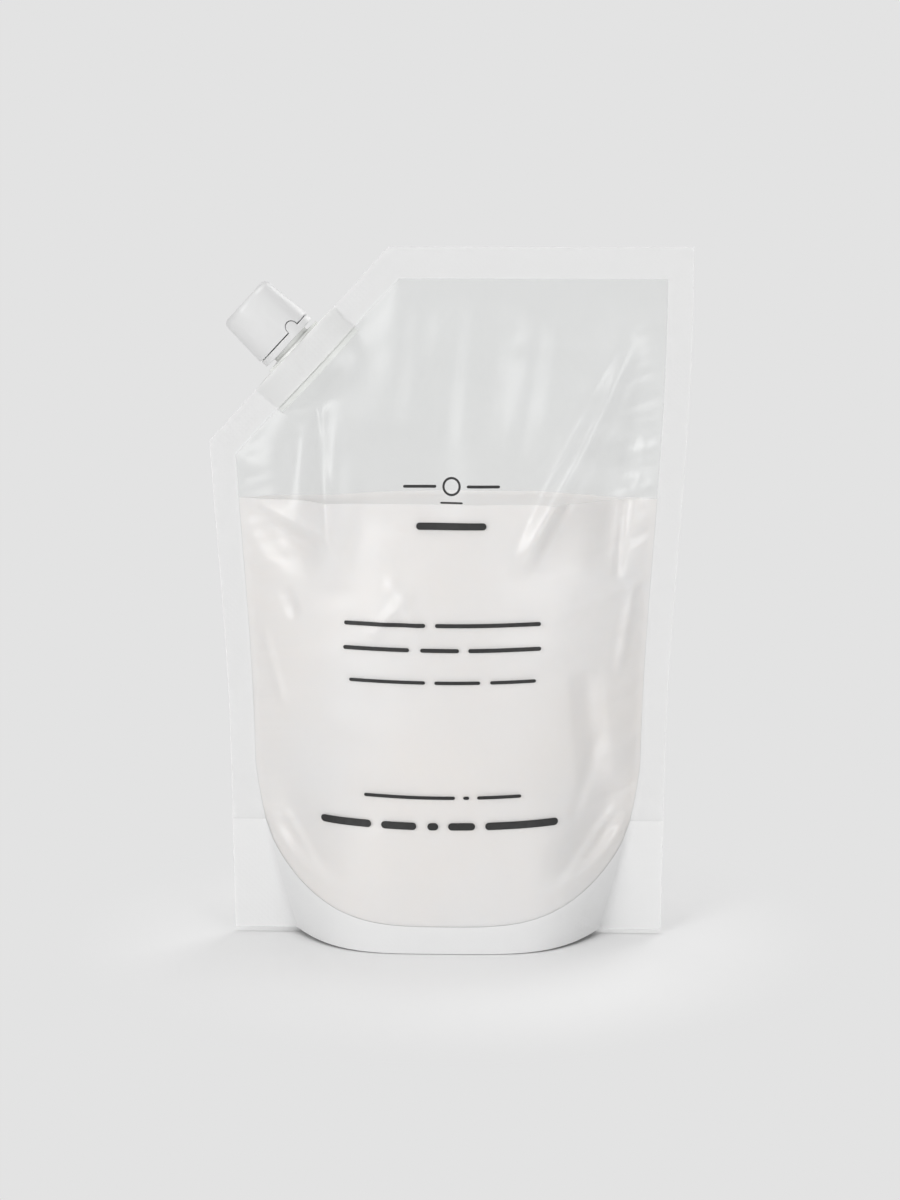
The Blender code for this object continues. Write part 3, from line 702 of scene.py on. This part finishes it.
def grid_points(columns, rows):
    """A flat grid, and each of its points with the numbers of its column and its row."""
    shape = bmesh.new()
    bmesh.ops.create_grid(shape, x_segments=columns, y_segments=rows)
    points = []
    for index, vert in enumerate(shape.verts):
        row, column = divmod(index, columns + 1)
        points.append((vert, column, row))
    return shape, points


def flat_places(verts):
    """X and Z of these points as arrays."""
    return np.array([vert.co.x for vert in verts]), np.array([vert.co.z for vert in verts])


def whole(shape):
    """Everything in a shape, for an operation on all of it."""
    return shape.verts[:] + shape.edges[:] + shape.faces[:]


def build_panel(pouch, side):
    """One film panel: a flat grid, cut along the slant, then pushed out to its filled shape."""
    rows = [pouch.panel_rows(column) for column in range(GRID_COLUMNS + 1)]
    shape, points = grid_points(GRID_COLUMNS, len(rows[0]) - 1)
    for vert, column, row in points:
        z = rows[column][row]
        vert.co = Vector((float(pouch.column_x(column, z)), 0, z))
    weld_line = pouch.cut_top - pouch.cut_out * pouch.sizes.cut_seal
    for line, trimmed in ((pouch.cut_top, True), (weld_line, False)):
        bmesh.ops.bisect_plane(
            shape, geom=whole(shape), dist=CUT_SNAP, plane_co=line, plane_no=pouch.cut_out,
            clear_outer=trimmed,
        )
    near = []
    for edge in shape.edges:
        place = (edge.verts[0].co + edge.verts[1].co) / 2
        along, below = abs(pouch.along_cut(place.x, place.z)), -pouch.beyond_cut(place.x, place.z)
        if along < PATCH_ALONG and below < PATCH_BELOW:
            near.append(edge)
    bmesh.ops.subdivide_edges(shape, edges=near, cuts=1, use_grid_fill=True)
    x, z = flat_places(shape.verts)
    y = side * (pouch.depth(x, z, side) + pouch.panel_offset(z))
    for vert, offset in zip(shape.verts, y):
        vert.co.y = float(offset)
        vert.co.x -= pouch.middle
    for face in shape.faces:
        place = face.calc_center_median()
        x = place.x + pouch.middle
        share = min(abs(x) / float(pouch.half_bulge(place.z)), 1.0)
        welded = share == 1.0 or place.z > pouch.bulge_top
        welded = welded or -pouch.beyond_cut(x, place.z) < pouch.sizes.cut_seal
        skirt = place.z < pouch.gusset_weld(share)
        face.material_index = FOUR_LAYERS if skirt else TWO_LAYERS if welded else PLAIN_FILM
    return shape


def gusset_point(pouch, column, row, rows, inset=0.0):
    """Point of the gusset: row 0 is its front lower edge, and the last row its back lower edge."""
    middle = LEAF_ROWS + ARCH_ROWS / 2
    side = -1 if row < middle else 1
    from_edge = middle - abs(row - middle)
    share = min(abs(pouch.column_share(column)), 1.0)
    layer = pouch.sizes.seam_layer
    if from_edge < LEAF_ROWS:
        z = rows[column][round(from_edge)]
        x = float(pouch.column_x(column, z))
        return Vector((x, side * (float(pouch.depth(np.float64(x), z, side)) + layer / 2), z))
    weld = float(pouch.gusset_weld(share))
    from_middle = abs(row - middle) / (ARCH_ROWS / 2)
    x = float(pouch.column_x(column, weld))
    span = float(pouch.depth(np.float64(x), weld, side)) + layer / 2
    opened = float(smooth(span / (pouch.sizes.belly_depth - pouch.sizes.belly_swell)))
    sag = pouch.sizes.gusset_sag * opened * (1 - from_middle**2)
    crease = pouch.sizes.gusset_crease * opened * max(1 - from_middle / GUSSET_FOLD, 0.0)
    return Vector((x, side * span * from_middle, weld - sag + crease + inset))


def build_gusset(pouch):
    """One sheet, welded to both panels, that spans between them and folds at the side welds."""
    rows = [pouch.filled_rows(column) for column in range(GRID_COLUMNS + 1)]
    shape, points = grid_points(GRID_COLUMNS, 2 * LEAF_ROWS + ARCH_ROWS)
    for vert, column, row in points:
        vert.co = gusset_point(pouch, column, row, rows) - Vector((pouch.middle, 0, 0))
    for face in shape.faces:
        row = min(vert.index for vert in face.verts) // (GRID_COLUMNS + 1)
        leaf = row < LEAF_ROWS or row >= LEAF_ROWS + ARCH_ROWS
        face.material_index = FOUR_LAYERS if leaf else PLAIN_FILM
    return shape


def build_soap(pouch):
    """The fill: up the front, over its level surface with a raised rim where it wets the film,
    down the back and over the gusset."""
    gap, layer = pouch.sizes.fill_clearance, pouch.sizes.seam_layer
    columns = np.arange(BULGE_COLUMNS + 1) + WELD_COLUMNS
    rows = [pouch.filled_rows(column) for column in range(GRID_COLUMNS + 1)]
    z = np.array(rows)[columns, LEAF_ROWS:]
    z[:, 0] += SOAP_SEAT
    x = pouch.column_x(columns[:, None], z)
    skins = []
    for side in (-1, 1):
        film = pouch.depth(x, z, side) + pouch.panel_offset(z) - layer / 2
        wall = layer / 2 + gap * smooth((z - z[:, :1]) / SOAP_DRAW)
        skins.append(side * np.maximum(film - wall, film / 2))
    front, back = skins
    up = z.shape[1]
    steps = 2 * up + LEVEL_ROWS - 1 + ARCH_ROWS - 1
    shape, points = grid_points(BULGE_COLUMNS, steps)

    def skin(index, step):
        """A point of the fill's outside, on this column and this many steps round it."""
        step = step % steps
        if step >= 2 * up + LEVEL_ROWS - 1:
            row = LEAF_ROWS + ARCH_ROWS - 1 - (step - 2 * up - LEVEL_ROWS + 1)
            return gusset_point(pouch, int(columns[index]), row, rows, pouch.sizes.seam_layer)
        if up <= step < up + LEVEL_ROWS - 1:
            across = (1 - math.cos(math.pi * (step - up + 1) / LEVEL_ROWS)) / 2
            depth = back[index, -1] - front[index, -1]
            near = min(across, 1 - across) * depth
            dip = WET_RISE * (1 - math.exp(-near / WET_RISE))
            return Vector((x[index, -1], front[index, -1] + depth * across, FILL_LEVEL - dip))
        row = step if step < up else 2 * up + LEVEL_ROWS - 2 - step
        wall = front if step < up else back
        return Vector((x[index, row], wall[index, row], z[index, row]))

    for vert, column, step in points:
        place = skin(column, step)
        if column in (0, BULGE_COLUMNS):
            inner = 1 if column == 0 else BULGE_COLUMNS - 1
            place = skin(inner, step).lerp(place, END_REACH)
        vert.co = place - Vector((pouch.middle, 0, 0))
    bmesh.ops.remove_doubles(shape, verts=shape.verts, dist=MERGE)
    rims = [edge for edge in shape.edges if edge.is_boundary]
    bmesh.ops.holes_fill(shape, edges=rims)
    return shape


def on_spout(shape):
    """Moves a shape made round the Z axis, with the cap's rim at 0, on to the spout's axis."""
    edge = Vector((-SPOUT_AXIS.z, 0, SPOUT_AXIS.x))
    turn = Matrix((edge, SPOUT_AXIS.cross(edge), SPOUT_AXIS)).transposed().to_4x4()
    bmesh.ops.transform(shape, matrix=Matrix.Translation(CAP_RIM) @ turn, verts=shape.verts)
    return shape


def quarter(centre, radius, start):
    """Points of a quarter round about a centre, turning clockwise from this angle in degrees."""
    points = []
    for step in range(QUARTER_STEPS + 1):
        turn = math.radians(start - 90 * step / QUARTER_STEPS)
        points.append((centre[0] + radius * math.cos(turn), centre[1] + radius * math.sin(turn)))
    return points


def turned(profile):
    """A closed body from a profile of (radius, height) turned about Z."""
    shape = bmesh.new()
    points = [shape.verts.new((radius, 0, height)) for radius, height in profile]
    edges = [shape.edges.new((points[index - 1], point)) for index, point in enumerate(points)]
    bmesh.ops.spin(
        shape, geom=points + edges, cent=(0, 0, 0), axis=(0, 0, 1), steps=ROUND_STEPS,
        angle=2 * math.pi, use_merge=True,
    )
    bmesh.ops.remove_doubles(shape, verts=shape.verts, dist=MERGE)
    loose = [face for face in shape.faces if face.calc_area() < TINY_FACE]
    bmesh.ops.delete(shape, geom=loose, context="FACES")
    return shape


def thread_ridge(sizes, radius, relief, turn):
    """A helical ridge on a wall of this radius, standing out by relief, or in if it is negative."""
    start, end = THREAD_START, CAP_HEIGHT - sizes.cap_top_wall - THREAD_HEADROOM
    turns = (end - start) / sizes.thread_lead
    steps = round(ROUND_STEPS * turns)
    root = -THREAD_ROOT if relief > 0 else THREAD_ROOT
    section = (
        (root, -0.5), (0.0, -0.5), (relief, -THREAD_CREST), (relief, THREAD_CREST), (0.0, 0.5), (root, 0.5),
    )
    shape, points = grid_points(steps, len(section) - 1)
    for vert, column, row in points:
        share = column / steps
        fade = float(smooth(np.float64(min(share, 1 - share) * THREAD_ENDS)))
        out, across = section[row]
        angle = turn + 2 * math.pi * turns * share
        reach = radius + (out * fade if out * relief > 0 else out)
        height = start + (end - start) * share + across * sizes.thread_width
        vert.co = Vector((reach * math.cos(angle), reach * math.sin(angle), height))
    return shape


def arch_form(sizes, grow, inner, outer):
    """An arch-topped block across the cap's wall, its outline grown by a gap."""
    half = sizes.tab_width / 2 + grow
    spring = sizes.tab_rise - sizes.tab_width / 2
    outline = [(half, -sizes.band_height / 2), (-half, -sizes.band_height / 2)]
    for step in range(TAB_STEPS + 1):
        turn = math.pi * (1 - step / TAB_STEPS)
        outline.append((half * math.cos(turn), spring + half * math.sin(turn)))
    shape = bmesh.new()
    face = shape.faces.new([shape.verts.new((x, inner, z)) for x, z in outline])
    pushed = bmesh.ops.extrude_face_region(shape, geom=[face])["geom"]
    moved = [item for item in pushed if isinstance(item, bmesh.types.BMVert)]
    bmesh.ops.translate(shape, verts=moved, vec=(0, outer - inner, 0))
    bmesh.ops.transform(shape, matrix=Matrix.Rotation(sizes.tab_turn, 4, "Z"), verts=shape.verts)
    return shape


def shaped(shape, tool, operation):
    """The first shape cut, kept or joined by the second."""
    body, cutter = plain_object("body form", shape), plain_object("tool form", tool)
    modifier = body.modifiers.new("Shape", "BOOLEAN")
    modifier.object = cutter
    modifier.operation = operation
    evaluated = body.evaluated_get(bpy.context.evaluated_depsgraph_get())
    result = bmesh.new()
    result.from_mesh(evaluated.to_mesh())
    evaluated.to_mesh_clear()
    for obj in (body, cutter):
        mesh = obj.data
        bpy.data.objects.remove(obj)
        bpy.data.meshes.remove(mesh)
    return result


def cap_shell(sizes):
    """Hollow cap: rounded rim, tapered wall, rounded shoulder, gate mark, plug and arch window."""
    narrow = CAP_RADIUS - sizes.cap_taper
    rim, shoulder = sizes.rim_round, sizes.cap_shoulder
    inner = CAP_RADIUS - sizes.cap_wall
    ceiling = CAP_HEIGHT - sizes.cap_top_wall
    plug_outer = sizes.bore_radius - sizes.fit_gap
    plug_inner = plug_outer - sizes.plug_wall
    plug_end = ceiling - sizes.plug_length
    gate = sizes.gate_radius
    dimple = rim / 2
    profile = [(0, CAP_HEIGHT - dimple), (gate - dimple, CAP_HEIGHT - dimple), (gate, CAP_HEIGHT)]
    profile += quarter((narrow - shoulder, CAP_HEIGHT - shoulder), shoulder, 90)
    profile += quarter((CAP_RADIUS - rim, rim), rim, 0)
    profile += quarter((inner + rim, rim), rim, 270)
    profile += [(inner - sizes.cap_taper, ceiling), (plug_outer, ceiling)]
    profile += quarter((plug_outer - rim, plug_end + rim), rim, 0)
    profile += [(plug_inner, plug_end), (plug_inner, ceiling), (0, ceiling)]
    window = arch_form(sizes, sizes.fit_gap, sizes.bead_radius, 2 * CAP_RADIUS)
    return shaped(turned(profile), window, "DIFFERENCE")


def band_ring(sizes):
    """The ring that the bead holds, with its tab standing in the cap's window."""
    top = -sizes.fit_gap
    low = top - sizes.band_height
    lip_top = low + sizes.band_lip
    rim = sizes.rim_round
    profile = quarter((BAND_RADIUS - rim, top - rim), rim, 90)
    profile += quarter((BAND_RADIUS - rim, low + rim), rim, 0)
    inner = sizes.neck_radius + sizes.fit_gap
    bead = sizes.bead_radius + sizes.fit_gap
    profile += [(inner, low), (inner, lip_top), (bead, lip_top), (bead, top)]
    tab_inner = BAND_RADIUS - TAB_DEPTH
    tab_low, tab_top = top - sizes.band_height * TAB_ROOT, sizes.tab_rise + sizes.fit_gap
    tab = [(BAND_RADIUS, tab_top), (BAND_RADIUS, tab_low), (tab_inner, tab_low), (tab_inner, tab_top)]
    arch = arch_form(sizes, 0.0, sizes.bead_radius, 2 * CAP_RADIUS)
    return shaped(turned(profile), shaped(turned(tab), arch, "INTERSECT"), "UNION")


def band_bridges(sizes):
    """The thin posts that join band and cap until the cap is first turned."""
    shape = bmesh.new()
    length = sizes.fit_gap + BRIDGE_OVERLAP
    reach = BAND_RADIUS - BRIDGE_INSET
    height = -sizes.fit_gap + length / 2 - BRIDGE_DROP
    for index in range(BRIDGES):
        angle = 2 * math.pi * (index + 0.5) / BRIDGES
        post = bmesh.ops.create_cone(
            shape, cap_ends=True, segments=BRIDGE_SIDES, radius1=BRIDGE_FOOT, radius2=BRIDGE_TIP,
            depth=length,
        )["verts"]
        spot = (reach * math.cos(angle), reach * math.sin(angle), height)
        bmesh.ops.translate(shape, verts=post, vec=spot)
    return shape


class REFILL_OT_closure(bpy.types.Operator):
    """Makes the screw cap, the tamper band and the threads, and finishes the spout"""

    bl_idname = "refill.closure"
    bl_label = "Closure"

    def execute(self, context):
        sizes = context.scene.refill_closure
        colours = context.scene.refill_colours
        white = moulded_plastic("moulded white polypropylene", colours.cap, roughness=0.36, grain=0.5)
        natural = moulded_plastic("moulded natural polyethylene", colours.spout, roughness=0.42, grain=0.6)
        spout = frame["nodes"]["spout"]
        spout.data.materials.clear()
        spout.data.materials.append(natural)
        neck = thread_ridge(sizes, sizes.neck_radius, sizes.thread_relief, 0.0)
        new_piece("neck_thread", on_spout(neck), [natural], "pouch")
        wall = CAP_RADIUS - sizes.cap_wall - THREAD_TAPER
        inside = thread_ridge(sizes, wall, -sizes.thread_relief, math.pi)
        new_piece("cap_thread", on_spout(inside), [white], "cap")
        cap = new_piece("cap_shell", on_spout(cap_shell(sizes)), [white], "cap")
        band = new_piece("tear_band", on_spout(band_ring(sizes)), [white], "band")
        bridges = on_spout(band_bridges(sizes))
        new_piece("band_bridges", bridges, [white], "band")
        for obj in (cap, band):
            obj.data.set_sharp_from_angle(angle=SHARP_PLASTIC)
        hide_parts("screw_cap")
        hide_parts("tamper_band")
        return {"FINISHED"}


def print_point(pouch, shape, x, z):
    """A new point of the print, just proud of the front film."""
    y = pouch.depth(np.float64(x + pouch.middle), z, -1) + pouch.panel_offset(z) + PRINT_PROUD
    return shape.verts.new((x, -float(y), z))


def fill_between(shape, low, high, count):
    """Faces between two rows of points, which may go round."""
    for index in range(count):
        after = (index + 1) % len(low)
        shape.faces.new((low[index], low[after], high[after], high[index]))


def print_bar(pouch, shape, from_x, to_x, z, height):
    """One bar with round ends, laid on the film."""
    half = height / 2
    columns = max(round((to_x - from_x) / PRINT_STEP), FEWEST_STEPS)
    points = []
    for column in range(columns + 1):
        turn = math.pi * column / columns
        x = (from_x + to_x) / 2 - (to_x - from_x) / 2 * math.cos(turn)
        past = max(half - min(x - from_x, to_x - x), 0.0)
        rise = math.sqrt(max(half**2 - past**2, 0.0))
        points.append((x, rise))
    rows = []
    for level in (-1.0, 0.0, 1.0):
        rows.append([print_point(pouch, shape, x, z + level * rise) for x, rise in points])
    for low, high in zip(rows, rows[1:]):
        fill_between(shape, low, high, columns)


def print_ring(pouch, shape):
    """A thin ring laid on the film."""
    inner, outer = [], []
    for step in range(RING_STEPS):
        turn = 2 * math.pi * step / RING_STEPS
        for loop, radius in ((inner, RING_RADIUS - RING_LINE), (outer, RING_RADIUS)):
            x, z = RING_PLACE[0] + radius * math.cos(turn), RING_PLACE[1] + radius * math.sin(turn)
            loop.append(print_point(pouch, shape, x, z))
    fill_between(shape, outer, inner, RING_STEPS)


class REFILL_OT_print(bpy.types.Operator):
    """Lays plain bars and a ring of ink on the front film"""

    bl_idname = "refill.print"
    bl_label = "Print"

    def execute(self, context):
        pouch = PouchShape(context.scene.refill_sizes)
        shape = bmesh.new()
        for z, height, bars in PRINT_LINES:
            for from_x, to_x in bars:
                print_bar(pouch, shape, from_x, to_x, z, height)
        print_ring(pouch, shape)
        bmesh.ops.remove_doubles(shape, verts=shape.verts, dist=MERGE)
        ink = printed_ink(context.scene.refill_colours.ink)
        new_piece("print_marks", shape, [ink], "pouch")
        return {"FINISHED"}


class REFILL_OT_film(bpy.types.Operator):
    """Makes the two film panels and the gusset"""

    bl_idname = "refill.film"
    bl_label = "Film"

    def execute(self, context):
        pouch = PouchShape(context.scene.refill_sizes)
        colours = context.scene.refill_colours
        finishes = [
            laminate_film(colours.film),
            welded_film("heat-sealed laminate of two layers", colours.weld, alpha=0.75),
            welded_film("heat-sealed laminate of four layers", colours.fin, alpha=0.9),
        ]
        front = new_piece("front_film", build_panel(pouch, -1), finishes, "pouch")
        back = new_piece("back_film", build_panel(pouch, 1), finishes, "pouch")
        gusset = new_piece("gusset_film", build_gusset(pouch), finishes, "pouch")
        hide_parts("front_film_panel")
        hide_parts("back_film_panel")
        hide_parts("bottom_gusset_film")
        return {"FINISHED"}


class REFILL_OT_soap(bpy.types.Operator):
    """Makes the liquid soap that fills the pouch"""

    bl_idname = "refill.soap"
    bl_label = "Soap"

    def execute(self, context):
        pouch = PouchShape(context.scene.refill_sizes)
        colours = context.scene.refill_colours
        finish = pearly_soap(colours.soap, colours.soap_shade)
        soap = new_piece("soap_fill", build_soap(pouch), [finish], "pouch")
        soap.data.set_sharp_from_angle(angle=SHARP_SOAP)
        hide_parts("liquid_soap")
        return {"FINISHED"}


def seen_directly(tree):
    """1 for rays that show a surface to the camera, straight, mirrored or through film."""
    rays = add_node(tree, "ShaderNodeLightPath").outputs
    mirrored = computed(tree, "MAXIMUM", rays["Is Glossy Ray"], rays["Is Transmission Ray"])
    return computed(tree, "MAXIMUM", rays["Is Camera Ray"], mirrored)


def mixed(tree, share, first, second, output):
    """Sends two shaders, mixed by this share of the second, to the output node."""
    mix = add_node(tree, "ShaderNodeMixShader", links={0: share, 1: first, 2: second})
    tree.links.new(mix.outputs["Shader"], tree.nodes[output].inputs["Surface"])


def studio_world(colour):
    """Even pale light from all round, and the backdrop's own grey where the camera sees it."""
    world = bpy.data.worlds.new("studio")
    bpy.context.scene.world = world
    world.use_nodes = True
    tree = world.node_tree
    lit = tree.nodes["Background"]
    lit.inputs["Color"].default_value = (1.0, 1.0, 1.0, 1.0)
    lit.inputs["Strength"].default_value = WORLD_STRENGTH
    shown = add_node(tree, "ShaderNodeBackground", {"Color": (*colour, 1.0), "Strength": 1.0})
    mixed(tree, seen_directly(tree), lit.outputs[0], shown.outputs[0], "World Output")


def studio_floor(colour, backdrop):
    """Seamless painted floor: matt, with the pouch's soft shadow on it, and fading to the
    backdrop's even grey away from the pouch."""
    material, tree, shader, place = new_material(
        "matt painted floor", {"Roughness": 0.9, "Specular IOR Level": 0.1}
    )
    deep = tuple(channel * PAINT_DEEP for channel in colour)
    mottle(tree, place, shader.inputs["Base Color"], deep, colour, apart=60)
    away = add_node(tree, "ShaderNodeVectorMath", {"operation": "LENGTH"}, {0: place})
    far = add_node(
        tree, "ShaderNodeMapRange",
        {"interpolation_type": "SMOOTHSTEP", "From Min": FADE_FROM, "From Max": FADE_TO},
        {"Value": away.outputs["Value"]},
    )
    fade = computed(tree, "MULTIPLY", far.outputs["Result"], seen_directly(tree))
    even = add_node(tree, "ShaderNodeEmission", {"Color": (*backdrop, 1.0), "Strength": 1.0})
    mixed(tree, fade, shader.outputs[0], even.outputs[0], "Material Output")
    return material


class REFILL_OT_stage(bpy.types.Operator):
    """Makes the floor, lamps, world and camera"""

    bl_idname = "refill.stage"
    bl_label = "Stage"

    def execute(self, context):
        settings = context.scene.refill_studio
        scene = context.scene
        scene.view_settings.view_transform = "Standard"
        studio_world(settings.backdrop)
        shape = bmesh.new()
        bmesh.ops.create_circle(shape, cap_ends=True, segments=FLOOR_SIDES, radius=FLOOR_RADIUS)
        floor = plain_object("floor", shape)
        floor.data.materials.append(studio_floor(settings.floor, settings.backdrop))
        floor.location.z = -FLOOR_GAP
        target = Vector((0, 0, settings.camera_target))
        for name, place, size, watts in LAMPS:
            light = bpy.data.lights.new(name, "AREA")
            light.shape = "SQUARE"
            light.size = size
            light.energy = watts
            lamp = linked(name, light)
            lamp.location = place
            lamp.rotation_euler = (target - lamp.location).to_track_quat("-Z", "Y").to_euler()
        azimuth, elevation = settings.camera_azimuth, settings.camera_elevation
        level = math.cos(elevation)
        out = Vector((math.sin(azimuth) * level, -math.cos(azimuth) * level, math.sin(elevation)))
        camera = linked("camera", bpy.data.cameras.new("camera"))
        camera.data.sensor_fit = "HORIZONTAL"
        camera.data.sensor_width = SENSOR_WIDTH
        camera.data.lens = settings.lens
        camera.location = target + out * settings.camera_distance
        camera.rotation_euler = out.to_track_quat("Z", "Y").to_euler()
        scene.camera = camera
        return {"FINISHED"}


class REFILL_PT_panel(bpy.types.Panel):
    """Lists the pouch's sizes, colours and settings, and the operators that dress it"""

    bl_label = "Refill pack"
    bl_idname = "REFILL_PT_panel"
    bl_space_type = "VIEW_3D"
    bl_region_type = "UI"
    bl_category = "Refill pack"

    def draw(self, context):
        for name, group in GROUPS.items():
            for setting in group.__annotations__:
                self.layout.prop(getattr(context.scene, name), setting)
        for operator in OPERATORS:
            self.layout.operator(operator.bl_idname)


GROUPS = {
    "refill_sizes": PouchSizes,
    "refill_closure": ClosureSizes,
    "refill_colours": PouchColours,
    "refill_studio": StudioSettings,
}
OPERATORS = (REFILL_OT_film, REFILL_OT_soap, REFILL_OT_closure, REFILL_OT_print, REFILL_OT_stage)


def register():
    """Registers the classes and hangs the property groups on the scene."""
    for cls in (*GROUPS.values(), *OPERATORS, REFILL_PT_panel):
        bpy.utils.register_class(cls)
    for name, group in GROUPS.items():
        setattr(bpy.types.Scene, name, bpy.props.PointerProperty(type=group))


def unregister():
    """Takes the property groups and the classes away again."""
    for name in GROUPS:
        delattr(bpy.types.Scene, name)
    for cls in (REFILL_PT_panel, *reversed(OPERATORS), *GROUPS.values()):
        bpy.utils.unregister_class(cls)


def main():
    """Makes every piece and the stage."""
    register()
    bpy.ops.refill.film()
    bpy.ops.refill.soap()
    bpy.ops.refill.closure()
    bpy.ops.refill.print()
    bpy.ops.refill.stage()


if __name__ == "__main__":
    main()
